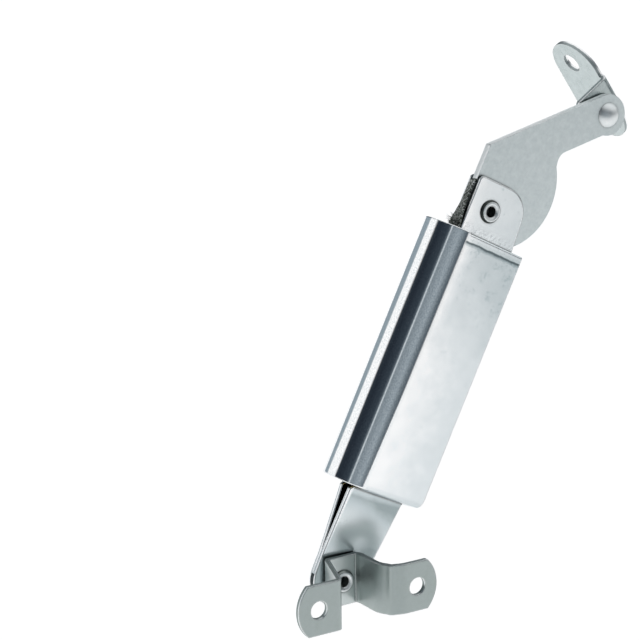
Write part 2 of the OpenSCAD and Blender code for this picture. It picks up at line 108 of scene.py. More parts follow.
def paint_edge_light_and_shade(tree, tone, soft, reach=1.1):
    """Paints light and shade onto the tone: a painted highlight, white where the softened normal leaves
    the true one, a painted dark reflection on the very lip of a pressed edge, and painted shade up to
    reach mm from a neighbouring face."""
    true = node(tree, "NewGeometry").node.outputs["Normal"]
    level = node(tree, "VectorMath", {0: soft, 1: true}, operation="DOT_PRODUCT").node.outputs["Value"]
    edge = node(tree, "MapRange", {"Value": level},
                From_Min=0.9, From_Max=0.985, To_Min=0.85, To_Max=0.0)
    lip = node(tree, "MapRange", {"Value": level},
               From_Min=0.78, From_Max=0.87, To_Min=0.8, To_Max=0.0)
    # Painted highlight on the rounded edge, then a painted dark reflection on its lip
    painted_rim = node(tree, "MixRGB", {"Fac": edge, "Color1": tone}, Color2="#ffffff")
    painted_rim = node(tree, "MixRGB", {"Fac": lip, "Color1": painted_rim}, Color2="#4a5355")
    # Painted shade: ambient occlusion darkens the tone near neighbouring faces
    near = node(tree, "AmbientOcclusion", samples=8, Distance=reach * MM).node.outputs["AO"]
    shade = node(tree, "MapRange", {"Value": near},
                 From_Min=0.48, From_Max=0.92, To_Min=0.08, To_Max=1.0)
    return node(tree, "MixRGB", {"Color1": painted_rim, "Color2": shade}, blend_type="MULTIPLY", Fac=1.0)


def zinc(name, dark, light, rough, mottle=7.0, grain=0.3, relief=0.1, roll=0.55, reach=1.1,
         painted_web_tone=None):
    """Zinc plated steel, or brass in its own tones: two close tones clouded every few mm, over pits.
    The real pits, about 0.05 mm, are too fine to show, so they are drawn at 0.2 to 0.5 mm.
    Rough goes from the shinier to the duller clouds; roll is the radius of the pressed edges, which get a
    painted highlight and a painted dark line, and reach is how far painted shade spreads from a corner.
    Sizes are in mm. The painted_web_tone argument is the lighter colour painted on the wall bracket's web
    and left riser: painted light that offsets the dark faces which they mirror."""
    m, t = blank(name)
    at = housing_place(t)
    cloud = node(t, "TexNoise", {"Vector": at}, Scale=1 / (mottle * MM), Detail=6.0, Roughness=0.62)
    pits = node(t, "TexNoise", {"Vector": at}, Scale=1 / (grain * MM), Detail=3.0)
    tone = node(t, "ValToRGB", {"Fac": cloud}, ((0.3, dark), (0.7, light)))
    # Painted light: the wall bracket's web and left riser are made lighter, to offset the dark faces that
    # they mirror
    if painted_web_tone:
        split = node(t, "SeparateXYZ", {"Vector": node(t, "TexCoord").node.outputs["Object"]}).node
        deep = node(t, "MapRange", {"Value": split.outputs["Y"]}, From_Min=1.8 * MM, From_Max=4 * MM)
        left = node(t, "MapRange", {"Value": split.outputs["X"]}, From_Min=5.5 * MM, From_Max=4.5 * MM)
        painted_light_mask = node(t, "Math", {0: deep, 1: left}, operation="MULTIPLY")
        tone = node(t, "MixRGB", {"Fac": painted_light_mask, "Color1": tone}, Color2=painted_web_tone)
    gloss = node(t, "MapRange", {"Value": cloud},
                 From_Min=0.35, From_Max=0.65, To_Min=rough[0], To_Max=rough[1])
    soft = node(t, "Bevel", samples=8, Radius=roll * MM)
    bump = node(t, "Bump", {"Height": pits, "Normal": soft}, Strength=relief, Distance=0.03 * MM)
    metal = node(t, "BsdfPrincipled", {
        "Base Color": paint_edge_light_and_shade(t, tone, soft, reach), "Roughness": gloss, "Normal": bump}, Metallic=1.0)
    node(t, "OutputMaterial", {"Surface": metal})
    return m


def sheared(name, torn, burnished):
    """Cut edge of pressed sheet: a bright burnished band on the punch's side and a dark torn band behind
    it, with a ragged line between them. The mesh's die_side runs from 0 to 1 through the sheet."""
    m, t = blank(name)
    side = node(t, "Attribute", attribute_name="die_side").node.outputs["Fac"]
    ragged = node(t, "TexNoise", {"Vector": housing_place(t)}, Scale=1 / (0.7 * MM), Detail=4.0)
    wander = node(t, "MapRange", {"Value": ragged}, To_Min=-0.15, To_Max=0.15)
    depth = node(t, "Math", {0: side, 1: wander}, operation="ADD")
    tone = node(t, "ValToRGB", {"Fac": depth}, (
        (0.0, torn), (0.6, torn), (0.68, burnished), (1.0, burnished)))
    gloss = node(t, "MapRange", {"Value": depth}, From_Min=0.6, From_Max=0.68, To_Min=0.5, To_Max=0.3)
    soft = node(t, "Bevel", samples=6, Radius=0.15 * MM)
    bump = node(t, "Bump", {"Height": ragged, "Normal": soft}, Strength=0.4, Distance=0.05 * MM)
    metal = node(t, "BsdfPrincipled", {
        "Base Color": tone, "Roughness": gloss, "Normal": bump}, Metallic=1.0)
    node(t, "OutputMaterial", {"Surface": metal})
    return m


def dressed(name, body, material, edges=None, cut=None, die=lambda n, c: -n[:, 1], angle=30,
            slices=None, bend=None):
    """Makes a merged copy of a CAD node, with its bends shaded smooth, that stands for the node.
    Slices cuts the faces of its bmesh, and bend moves its points, in mm. Faces that cut(normal, centre)
    picks, in the row's axes and in mm, get the edge material. Their burnished band lies on the sheet's
    side where die(normal, centre) is above zero."""
    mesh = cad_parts[name].data.copy()
    b = bmesh.new()
    b.from_mesh(mesh)
    bmesh.ops.remove_doubles(b, verts=b.verts, dist=0.002 * MM)
    if slices:
        slices(b)
    b.to_mesh(mesh)
    b.free()
    if "custom_normal" in mesh.attributes:
        mesh.attributes.remove(mesh.attributes["custom_normal"])
    if bend:
        points = np.empty(3 * len(mesh.vertices))
        mesh.vertices.foreach_get("co", points)
        mesh.vertices.foreach_set("co", bend(points.reshape(-1, 3) / MM).ravel() * MM)
    mesh.polygons.foreach_set("use_smooth", np.ones(len(mesh.polygons), dtype=bool))
    mesh.update()
    mesh.set_sharp_from_angle(angle=math.radians(angle))
    mesh.materials.clear()
    mesh.materials.append(material)
    if cut:
        count = len(mesh.polygons)
        normal, centre, corners = np.empty(3 * count), np.empty(3 * count), np.empty(count, dtype=int)
        mesh.polygons.foreach_get("normal", normal)
        mesh.polygons.foreach_get("center", centre)
        mesh.polygons.foreach_get("loop_total", corners)
        vertex = np.empty(len(mesh.loops), dtype=int)
        mesh.loops.foreach_get("vertex_index", vertex)
        normal, centre = normal.reshape(-1, 3), centre.reshape(-1, 3) / MM
        is_cut = cut(normal, centre)
        side = np.zeros(len(mesh.vertices))
        side[vertex[np.repeat(~is_cut & (die(normal, centre) > 0), corners)]] = 1
        mesh.attributes.new("die_side", "FLOAT", "POINT").data.foreach_set("value", side)
        mesh.materials.append(edges)
        mesh.polygons.foreach_set("material_index", is_cut.astype(np.int32))
    piece = bpy.data.objects.new(name + "_finished", mesh)
    bpy.context.scene.collection.objects.link(piece)
    weighted = piece.modifiers.new("weighted", "WEIGHTED_NORMAL")
    weighted.keep_sharp = True
    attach(piece, body)
    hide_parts(name)


def middle_line(corners, radii, step=0.02):
    """Points, left-hand normals and lengths along a line through corners, each inner one rounded by an
    arc: its middle lies on the corner's halving line, radius / sin(half angle) from it. Sizes in mm."""
    run = [np.array(corners[:1], dtype=float)]
    for a, c, b, r in zip(*(np.array(corners, dtype=float)[i:] for i in range(3)), radii):
        back, on = (a - c) / np.linalg.norm(a - c), (b - c) / np.linalg.norm(b - c)
        half = np.arccos(back @ on) / 2
        centre = c + r / np.sin(half) * (back + on) / np.linalg.norm(back + on)
        sweep = np.linspace(half - np.pi / 2, np.pi / 2 - half, 60)[:, None]
        out, side = (back + on) / np.linalg.norm(back + on), (on - back) / np.linalg.norm(on - back)
        run.append(centre - r * np.cos(sweep) * out + r * np.sin(sweep) * side)
    run = np.concatenate(run + [np.array(corners[-1:], dtype=float)])
    length = np.concatenate([[0], np.cumsum(np.linalg.norm(np.diff(run, axis=0), axis=1))])
    s = np.arange(0, length[-1], step)
    point = np.stack([np.interp(s, length, run[:, k]) for k in (0, 1)], axis=1)
    lie = np.gradient(point, axis=0)
    lie /= np.linalg.norm(lie, axis=1)[:, None]
    return point, np.stack([-lie[:, 1], lie[:, 0]], axis=1), s


# The right half of the strip as the CAD bends it, and as the pressed strip really runs: its riser stands
# square to the wall and the bend into the foot is wide
plain_bend = middle_line(
    ((0, WEB_MIDDLE), (5.54, WEB_MIDDLE), (8.74, FOOT_MIDDLE), (27, FOOT_MIDDLE)), (2.8, 2.8))
soft_bend = middle_line(
    ((0, WEB_MIDDLE), (6.3, WEB_MIDDLE), (6.9, FOOT_MIDDLE), (27, FOOT_MIDDLE)), (2.4, 7.4))


def foot_slices(b):
    """Cuts the right half square to its middle line every 0.6 mm, so that it can bend there."""
    line, off, s = plain_bend
    for k in np.searchsorted(s, np.arange(BENT_FROM + 1, np.interp(BENT_TO, line[:, 0], s), 0.6)):
        near = [f for f in b.faces if f.calc_center_median().x > 0]
        geometry = list({v for f in near for v in f.verts} | {e for f in near for e in f.edges}) + near
        bmesh.ops.bisect_plane(b, geom=geometry, dist=0.001 * MM, plane_no=(off[k][1], -off[k][0], 0),
                               plane_co=(line[k][0] * MM, line[k][1] * MM, 0))


def softer_foot_bend(points):
    """Carries each point of the right half from the plain line to the soft one: it keeps its distance
    from the sheet's middle and its share of the way. The web and the foot round its hole stay."""
    (line, off, s), (goal, goal_off, goal_s) = plain_bend, soft_bend
    hold, goal_hold = np.interp(BENT_TO, line[:, 0], s), np.interp(BENT_TO, goal[:, 0], goal_s)
    moved = points[:, 0] > BENT_FROM
    at = points[moved, :2]
    k = np.argmin(((at[:, None] - line[None]) ** 2).sum(axis=2), axis=1)
    depth = ((at - line[k]) * off[k]).sum(axis=1)
    along = ((at - line[k]) * np.stack([off[k][:, 1], -off[k][:, 0]], axis=1)).sum(axis=1)
    new_s = np.interp(s[k] + along, [0, BENT_FROM, hold, s[-1]], [0, BENT_FROM, goal_hold, goal_s[-1]])
    for axis in (0, 1):
        points[moved, axis] = (np.interp(new_s, goal_s, goal[:, axis])
                               + depth * np.interp(new_s, goal_s, goal_off[:, axis]))
    return points


def wall_cut(n, c):
    """Cut faces: the strip's long edges, the holes' upper and lower parts, and the feet's round ends,
    which are more than 15.5 mm from the middle."""
    return (abs(n[:, 2]) > 0.5) | ((abs(n[:, 1]) < 0.1) & (abs(c[:, 0]) > 15.5))


# Barrel plated zinc, greenish grey and satin, which mirrors only broad light and dark
# The web and left riser get painted light, a lighter tone that offsets the dark faces they mirror
bracket_zinc = zinc("dull_zinc_wall_bracket", "#9ea7a5", "#b0b9b8", (0.28, 0.42), mottle=6.0,
                    painted_web_tone="#c6cdcc")
# Plated over the cut, so its two bands differ less than the housing's
bracket_edge = sheared("sheared_edge_wall_bracket", "#98a1a0", "#dde3e3")
dressed("wall_bracket", "wall_bracket", bracket_zinc, bracket_edge, wall_cut,
        slices=foot_slices, bend=softer_foot_bend)

# Housing
# One sheet of 1.5 mm steel: its legs, shelves and ears are pressed in first, then it is folded round a
# mandrel. The nose comes off it nearly a mirror, and the flat sides keep the satin of the rolled sheet.
NOSE_X = -9.5 * MM


def housing_zinc(name):
    """Satin clouded zinc on the flats, painted white beside the fold and painted darker towards the back,
    the top and down the legs, and drawn mirror bright zinc with faint lines along it in front of the
    fold.
    The change takes 1 mm. Painted shade makes a dark line under the shelf, where its bend mirrors dark;
    pressing leaves wrinkles at the ear's foot and scuff marks near both, which darken towards the top
    with the painted shade. The inner side is painted dark as painted shade, darkest between the legs."""
    m, t = blank(name)
    at = housing_place(t)
    split = node(t, "SeparateXYZ", {"Vector": at}).node
    across, along = split.outputs["X"], split.outputs["Z"]
    cloud = node(t, "TexNoise", {"Vector": at}, Scale=1 / (9 * MM), Detail=7.0, Roughness=0.6)
    pits = node(t, "TexNoise", {"Vector": at}, Scale=1 / (0.35 * MM), Detail=3.0)

    # Painted shade from 0 to 1, darker towards the back, the top and down the legs, plus random clouds of
    # tone; at 0, beside the fold, it is a painted white highlight
    back = node(t, "MapRange", {"Value": across},
                From_Min=NOSE_X + 1.5 * MM, From_Max=14 * MM, To_Min=0.0, To_Max=0.34)
    high = node(t, "MapRange", {"Value": along}, interpolation_type="SMOOTHSTEP",
                From_Min=70 * MM, From_Max=121 * MM, To_Min=0.0, To_Max=0.45)
    below_ear = node(t, "MapRange", {"Value": along},
                     From_Min=118 * MM, From_Max=120 * MM, To_Min=1.0, To_Max=0.3)
    high = node(t, "Math", {0: high, 1: below_ear}, operation="MULTIPLY")
    off_fold = node(t, "MapRange", {"Value": across},
                    From_Min=NOSE_X + 0.5 * MM, From_Max=NOSE_X + 5 * MM)
    high = node(t, "Math", {0: high, 1: off_fold}, operation="MULTIPLY")
    leg = node(t, "MapRange", {"Value": along}, From_Min=-10 * MM, From_Max=40 * MM)
    leg = node(t, "ValToRGB", {"Fac": leg}, (
        (0.44, "#d1d1d1"), (0.57, "#939393"), (0.64, "#c1c1c1"), (0.75, "#f6f6f6"), (0.86, "#000000")))
    low = node(t, "MapRange", {"Value": leg}, To_Min=0.0, To_Max=0.92)
    wear = node(t, "MapRange", {"Value": cloud}, From_Min=0.3, From_Max=0.7, To_Min=-0.09, To_Max=0.09)
    upper = node(t, "Math", {0: back, 1: high}, operation="ADD")
    lower = node(t, "Math", {0: low, 1: wear}, operation="ADD")
    painted_shade_and_clouds = node(t, "Math", {0: upper, 1: lower}, operation="ADD")
    tone = node(t, "ValToRGB", {"Fac": painted_shade_and_clouds}, (
        (0.0, "#ffffff"), (0.07, "#f4f6f7"), (0.25, "#e3e8ea"), (0.75, "#c2cbce"), (1.0, "#9ba6a8")))

    # Painted shade: a dark line under the shelf, where its bend mirrors dark; and scuff marks, darker
    # towards the top with the painted shade
    sway = node(t, "MapRange", {"Value": cloud}, To_Min=-0.8 * MM, To_Max=0.8 * MM)
    wavy = node(t, "Math", {0: along, 1: sway}, operation="ADD")
    line = node(t, "MapRange", {"Value": wavy}, From_Min=116 * MM, From_Max=119 * MM)
    painted_shade_line = node(t, "ValToRGB", {"Fac": line}, (
        (0.0, "#ffffff"), (0.25, "#d0d6d8"), (0.42, "#697376"), (0.5, "#7d8789"), (0.6, "#ffffff"),
        (1.0, "#ffffff")))
    scuff = node(t, "TexNoise", {"Vector": at}, Scale=1 / (2.6 * MM), Detail=9.0, Roughness=0.75)
    more = node(t, "MapRange", {"Value": high}, To_Min=0.0, To_Max=0.22)
    scuff_and_shade_level = node(t, "Math", {0: scuff, 1: more}, operation="SUBTRACT")
    scuffs_and_shade = node(t, "ValToRGB", {"Fac": scuff_and_shade_level}, ((0.16, "#aab4b6"), (0.28, "#e6ebec"), (0.38, "#ffffff")))
    # Tone with the painted shade line under the shelf
    pressed = node(t, "MixRGB", {"Color1": tone, "Color2": painted_shade_line}, blend_type="MULTIPLY", Fac=1.0)
    marked = node(t, "MixRGB", {"Color1": pressed, "Color2": scuffs_and_shade}, blend_type="MULTIPLY", Fac=1.0)

    # Softened edges, grain drawn coarser than real so that it shows, and wrinkles about a millimetre
    # wide where the ear is pressed in
    soft = node(t, "Bevel", samples=8, Radius=0.75 * MM)
    bump = node(t, "Bump", {"Height": pits, "Normal": soft}, Strength=0.08, Distance=0.03 * MM)
    squeezed = node(t, "Mapping", {"Vector": at}, Scale=(1, 1, 1.2))
    folds = node(t, "TexNoise", {"Vector": squeezed}, Scale=1 / (1.2 * MM))
    foot = node(t, "MapRange", {"Value": along}, From_Min=118 * MM, From_Max=126 * MM)
    foot = node(t, "ValToRGB", {"Fac": foot}, (
        (0.1, "#000000"), (0.4, "#ffffff"), (0.55, "#ffffff"), (0.85, "#000000")))
    folds = node(t, "Math", {0: folds, 1: foot}, operation="MULTIPLY")
    creased = node(t, "Bump", {"Height": folds, "Normal": bump}, Strength=0.45, Distance=0.2 * MM)

    # The sheet's inner side painted dark as painted shade, darkest between the legs
    true = node(t, "NewGeometry").node.outputs["Normal"]
    true = node(t, "SeparateXYZ", {"Vector": true}).node.outputs["Y"]
    outward = node(t, "Math", {0: true, 1: split.outputs["Y"]}, operation="MULTIPLY")
    painted_inner_shade = node(t, "MapRange", {"Value": outward},
                  From_Min=-0.8 * MM, From_Max=-0.4 * MM, To_Min=1.0, To_Max=0.0)
    over_legs = node(t, "MapRange", {"Value": along}, From_Min=30 * MM, From_Max=40 * MM)
    dark = node(t, "ValToRGB", {"Fac": over_legs}, ((0.0, "#343937"), (1.0, "#9aa09f")))
    # Painted shade on the inner side mixed into the tone
    plated = node(t, "MixRGB", {"Fac": painted_inner_shade, "Color1": paint_edge_light_and_shade(t, marked, soft), "Color2": dark})
    satin = node(t, "BsdfPrincipled", {
        "Base Color": plated, "Normal": creased}, Metallic=1.0, Roughness=0.24)

    # The nose: flecks of the plating, and the lines of drawing, 0.4 mm apart so that they show
    drawn_out = node(t, "Mapping", {"Vector": at}, Scale=(1, 1, 0.04))
    lines = node(t, "TexNoise", {"Vector": drawn_out}, Scale=1 / (0.4 * MM))
    shine = node(t, "MapRange", {"Value": lines}, From_Min=0.3, From_Max=0.7, To_Min=0.06, To_Max=0.11)
    specks = node(t, "Bump", {"Height": pits, "Normal": soft}, Strength=0.02, Distance=0.03 * MM)
    flecks = node(t, "ValToRGB", {"Fac": pits}, ((0.38, "#dde2e5"), (0.5, "#f1f3f4"), (0.66, "#ffffff")))
    drawn = node(t, "BsdfPrincipled", {
        "Base Color": flecks, "Roughness": shine, "Normal": specks}, Metallic=1.0)
    front = node(t, "MapRange", {"Value": across}, interpolation_type="SMOOTHSTEP",
                 From_Min=NOSE_X - 0.5 * MM, From_Max=NOSE_X + 0.5 * MM, To_Min=1.0, To_Max=0.0)
    node(t, "OutputMaterial", {"Surface": node(t, "MixShader", {0: front, 1: satin, 2: drawn})})
    return m


def housing_cut(n, c):
    """Cut faces of the folded sheet: level through its thickness, but not the round of the nose."""
    along, across = n @ np.array(U), c @ np.array(W)
    return (abs(n[:, 1]) < 0.03) & ((across > NOSE_X / MM + 0.1) | (abs(along) > 0.5))


# The blank's cut edge: a bright line beside a dark torn one, which sets off the fold's rim and the legs
housing_edge = sheared("sheared_edge_housing", "#3d4547", "#f4f6f7")
dressed("spring_housing", "housing", housing_zinc("bright_zinc_housing"), housing_edge,
        housing_cut, die=lambda n, c: n[:, 1] * (c[:, 1] - PLATE_Y / MM))

# Rivets
# Tubular steel rivets, domed at one end and clinched over a washer or the sheet at the other.
# They are bright zinc plated before they are set, and their bores are painted dark as painted shade.
CAM_PIVOT, UPPER_PIVOT = (59.02, 115.83), (108.87, 142.96)


def bore_cut(pivot, opening):
    """Picks the faces of a rivet's bore, which opens towards +Y where opening is 1, else towards -Y.
    The clinched ring, 2.6 mm from the pivot's middle, is left out."""
    def picks(n, c):
        ring = abs(np.hypot(c[:, 0] - pivot[0], c[:, 2] - pivot[1]) - 2.6) <= 0.72
        return ~ring & (n[:, 1] * opening > -0.2) & ((c[:, 1] - PLATE_Y / MM) * opening > 0)
    return picks


# Bright zinc that setting the rivet has matted, so the dome shows a soft highlight
rivet_zinc = zinc("bright_zinc_rivet", "#dce1e2", "#f0f2f2", (0.42, 0.5),
                  mottle=2.0, relief=0.08, roll=0.2)
# Painted shade in the bores: dark, and a little lighter in the lower one
painted_shade_bore = zinc("rivet_bore_painted_shade", "#434846", "#636864", (0.5, 0.6), mottle=1.5, roll=0.1)
painted_shade_lower_bore = zinc("lower_rivet_bore_painted_shade", "#7e8582", "#a4aaa7", (0.4, 0.5), mottle=1.5, roll=0.1)
for name, body, bore, pivot, opening in (("lower_rivet", "housing", painted_shade_lower_bore, (0, 0), -1),
                                         ("cam_rivet", "housing", painted_shade_bore, CAM_PIVOT, -1),
                                         ("upper_rivet", "cam_arm", painted_shade_bore, UPPER_PIVOT, 1)):
    dressed(name, body, rivet_zinc, bore, bore_cut(pivot, opening), angle=50)

# Washers, sleeve, seat and cap
# Small turned and pressed steel parts beside the joints and inside the nose, zinc plated in the barrel.
# The rivets hold the washers and the sleeve, and the spring presses the seat and the cap apart.

# Dull grey zinc, the quiet background of the joints
small_steel = zinc("dull_zinc_small", "#8f9596", "#a9afb0", (0.35, 0.5), mottle=3.0, relief=0.15)
for name, body in (("lower_washer", "housing"), ("cam_sleeve", "housing"), ("spring_seat", "housing"),
                   ("spring_cap", "spring_cap"), ("upper_washer", "cam_arm")):
    dressed(name, body, small_steel)

# Spring
# A coil of 2 mm drawn wire, oil tempered and then zinc plated, with one closed turn at each end. It
# stands on the pull cap and pushes against the seat under the cam. The strap squeezes it.
WIRE_R, COIL_R, TURNS, CLOSED_RISE = 1 * MM, 6.2 * MM, 13, 2.45 * MM
SPRING_LOW, SPRING_TOP = 34.9 * MM, 102 * MM


def in_row(x, y, z):
    """Places of the housing's own axes in the row's: x along W, z along U, y from the middle plane."""
    x, y, z = (v[..., None] for v in np.broadcast_arrays(x, y, z))
    return x * np.array(W) + z * np.array(U) + (y + PLATE_Y) * np.array((0, 1, 0))


def quads(rows, cols):
    """Corners of the four-sided faces of rows rings with cols points each."""
    r = np.arange(rows - 1)[:, None] * cols
    c = np.arange(cols)[None]
    d = (c + 1) % cols
    return np.stack([r + c, r + d, r + cols + d, r + cols + c], axis=-1).reshape(-1, 4)


def ends(rows, cols):
    """The two closing faces of a run of rings."""
    return np.arange(cols)[None] + np.array([[0], [(rows - 1) * cols]])


def solid(name, points, faces, body, material):
    """Makes an object of the points and faces, turned outward and with its four-sided faces smooth,
    that rides on body."""
    mesh = bpy.data.meshes.new(name)
    mesh.from_pydata(points.reshape(-1, 3).tolist(), [], faces)
    b = bmesh.new()
    b.from_mesh(mesh)
    bmesh.ops.recalc_face_normals(b, faces=b.faces)
    b.to_mesh(mesh)
    b.free()
    corners = np.empty(len(mesh.polygons), dtype=int)
    mesh.polygons.foreach_get("loop_total", corners)
    mesh.polygons.foreach_set("use_smooth", corners == 4)
    mesh.materials.append(material)
    piece = bpy.data.objects.new(name, mesh)
    bpy.context.scene.collection.objects.link(piece)
    if body:
        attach(piece, body)
    return piece


def round_wire(per_turn=48, sides=16):
    """Points of a wire on a helix: a circle of the wire's radius, carried round the coil at an even turn
    while it rises slowly in the closed turns and evenly in the open ones."""
    t = np.linspace(0, TURNS, TURNS * per_turn + 1)
    length = SPRING_TOP - SPRING_LOW - 2 * WIRE_R
    height = np.interp(t, [0, 1, TURNS - 1, TURNS], [0, CLOSED_RISE, length - CLOSED_RISE, length])
    quarter = per_turn // 4
    soft = np.ones(quarter) / quarter
    height[quarter:-quarter] = np.convolve(height, soft, "same")[quarter:-quarter]
    a, k = 2 * np.pi * t[:, None], 2 * np.pi * np.arange(sides) / sides
    r = COIL_R + WIRE_R * np.cos(k)
    rise = SPRING_LOW + WIRE_R + height[:, None] + WIRE_R * np.sin(k)
    return in_row(NOSE_X + r * np.cos(a), r * np.sin(a), rise)


# Drawn wire, smoother than the pressings, so each turn carries a thin highlight
wire_zinc = zinc("drawn_spring_wire", "#8b9193", "#a8aeb0", (0.25, 0.35), mottle=2.0, grain=0.2)
wire = round_wire()
rings = wire.shape[:2]
wire_faces = quads(*rings).tolist() + ends(*rings).tolist()
spring = solid("coil_spring", wire, wire_faces, "housing", wire_zinc)
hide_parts("compression_spring")
tuple(in_row(NOSE_X, 0, SPRING_TOP))
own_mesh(spring)

# Strap
# Woven webbing, 6.2 by 0.8 mm, from the barrel in the arm over the arm's edge and down the spring.
# It is folded narrow between the ears, and its worn edge frays where it rubs at the nose's mouth.
STRAP_W, STRAP_T, STRAP_NECK, THREAD = 6.2 * MM, 0.8 * MM, 2.5 * MM, 0.7 * MM
NECK_Z, WIDE_Z, MOUTH_Z, STRAP_END = 129.6 * MM, 122.1 * MM, 120.6 * MM, 34.2 * MM
# The two pieces of the strap overlap between these heights
JOIN_Z, JOIN_LOW = 99 * MM, 98.5 * MM


def strap_web(name):
    """Polyamide webbing: dark grey green threads with pale ones among them, lightened by wear, 0.7 mm
    long and half as wide, under a slight sheen. The mesh's threads holds metres along and across the
    strap."""
    m, t = blank(name)
    at = node(t, "Attribute", attribute_name="threads").node.outputs["Vector"]
    long = node(t, "Mapping", {"Vector": at}, Scale=(1, 2.2, 1))
    pale = node(t, "TexNoise", {"Vector": long}, Scale=1 / THREAD, Detail=4.0, Roughness=0.75)
    tone = node(t, "ValToRGB", {"Fac": pale}, (
        (0.44, "#12160f"), (0.5, "#323b31"), (0.54, "#a9b3a6"), (0.58, "#ffffff")))
    fuzz = node(t, "Bump", {"Height": pale}, Strength=0.6, Distance=0.1 * MM)
    woven = node(t, "BsdfPrincipled", {
        "Base Color": tone, "Normal": fuzz}, Roughness=0.85, Sheen_Weight=0.25)
    node(t, "OutputMaterial", {"Surface": woven})
    return m


def band_section(cols=96, corner=0.3 * MM):
    """Outline of the band's section, a rectangle with round corners, evenly spaced at full width.
    Half width and half thickness are each 1."""
    turn = np.radians(np.array([0, 30, 60, 90]))
    q = np.stack([STRAP_W / 2 - corner + corner * np.cos(turn),
                  STRAP_T / 2 - corner + corner * np.sin(turn)])
    aside, below = (q * [[-1], [1]])[:, ::-1], (q * [[1], [-1]])[:, ::-1]
    ring = np.concatenate([q, aside, -q, below, q[:, :1]], axis=1)
    along = np.concatenate([[0], np.cumsum(np.hypot(*np.diff(ring)))])
    s = np.linspace(0, along[-1], cols, endpoint=False)
    return np.interp(s, along, ring[0]) / (STRAP_W / 2), np.interp(s, along, ring[1]) / (STRAP_T / 2)


def band(way, step=0.16 * MM, reach=1.5 * MM, raised=0.05 * MM):
    """Points of the strap along way, points in x and z with each corner rounded by a parabola.
    The width follows the height; threads raise it by sine waves along and across, a thread wide each."""
    path = [way[:1]]
    for a, c, b in zip(way, way[1:], way[2:]):
        t = np.linspace(0, 1, 12)[:, None]
        start = c + reach * (a - c) / np.linalg.norm(a - c)
        end = c + reach * (b - c) / np.linalg.norm(b - c)
        path.append((1 - t) ** 2 * start + 2 * t * (1 - t) * c + t ** 2 * end)
    path = np.concatenate(path + [way[-1:]])
    along = np.concatenate([[0], np.cumsum(np.linalg.norm(np.diff(path, axis=0), axis=1))])
    s = np.linspace(0, along[-1], int(along[-1] / step))
    x, z = np.interp(s, along, path[:, 0]), np.interp(s, along, path[:, 1])
    lie = np.stack([np.gradient(x), np.gradient(z)]) / np.hypot(np.gradient(x), np.gradient(z))
    wide, thick = band_section()
    y = wide * np.interp(z, [WIDE_Z, NECK_Z], [STRAP_W / 2, STRAP_NECK / 2])[:, None]
    thread = raised * np.sin(np.pi * s / THREAD)[:, None] * np.sin(np.pi * y / THREAD)
    off = thick * (STRAP_T / 2 - raised + thread)
    points = in_row(x[:, None] - lie[1][:, None] * off, y, z[:, None] + lie[0][:, None] * off)
    return points, np.stack(np.broadcast_arrays(s[:, None], y, thick * 0), axis=-1)


def fibres(count=110, steps=8, sides=3):
    """Frayed fibres at the mouth: each leaves the strap's front and curls, thinning to its tip.
    Place, length and curl are drawn from a fixed seed. They are thicker than real ones, to show."""
    r = np.random.default_rng(7)
    t = np.linspace(0, 1, steps)[None]
    root_y, root_z = r.uniform(-3, 1.5, (count, 1)) * MM, r.uniform(119.8, 123.6, (count, 1)) * MM
    reaches = ((-3.6, -0.8), (-0.3, 2.4), (-1.2, 0.8))
    out, up, side = (r.uniform(lo, hi, (count, 1)) * MM for lo, hi in reaches)
    x = NOSE_X - 0.3 * MM + out * t ** 0.8
    y = root_y + side * t + 0.25 * MM * np.sin(6 * t + r.uniform(0, 6, (count, 1)))
    z = root_z + up * t - 0.8 * MM * t ** 2
    a, thin = 2 * np.pi * np.arange(sides) / sides, (0.07 * MM * (1 - 0.6 * t))[..., None]
    points = in_row(x[..., None], y[..., None] + thin * np.cos(a), z[..., None] + thin * np.sin(a))
    first = np.arange(count)[:, None, None] * steps * sides
    faces = (quads(steps, sides) + first).reshape(-1, 4).tolist()
    faces += (ends(steps, sides) + first).reshape(-1, sides).tolist()
    threads = np.stack(np.broadcast_arrays(
        root_z[..., None] + t[..., None] * MM, root_y[..., None], 0 * a), axis=-1)
    return points, faces, threads


def strap_piece(name, way, body, frayed=False):
    """One piece of the strap along way, with the frayed fibres where it has them."""
    points, threads = band(np.array(way))
    rings = points.shape[:2]
    faces = quads(*rings).tolist() + ends(*rings).tolist()
    points, threads = points.reshape(-1, 3), threads.reshape(-1, 3)
    if frayed:
        more, more_faces, more_threads = fibres()
        faces += [[i + len(points) for i in f] for f in more_faces]
        points = np.concatenate([points, more.reshape(-1, 3)])
        threads = np.concatenate([threads, more_threads.reshape(-1, 3)])
    piece = solid(name, points, faces, body, webbing)
    weave = piece.data.attributes.new("threads", "FLOAT_VECTOR", "POINT")
    weave.data.foreach_set("vector", threads.ravel())
    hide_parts("pull_strap")
    return piece


# Matt webbing whose worn threads sparkle pale among the dark ones
webbing = strap_web("woven_strap_grey_green")
over_arm = ((-4.2 * MM, 135 * MM), (-9.2 * MM, 137.8 * MM), (NOSE_X, MOUTH_Z), (NOSE_X, JOIN_LOW))
upper = strap_piece("strap_over_arm", over_arm, None, frayed=True)
tuple(in_row(NOSE_X, 0, 121 * MM))
tuple(in_row(NOSE_X, 0, 117 * MM))
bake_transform(upper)
lower = strap_piece("strap_through_spring", ((NOSE_X, JOIN_Z), (NOSE_X, STRAP_END)), "housing")
tuple(in_row(NOSE_X, 0, JOIN_Z))
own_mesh(lower)

# Strap ends
# A brass barrel crimped on the strap's upper end, which sits in the arm's keyhole, and the stop formed
# round its lower end, which lifts the pull cap.

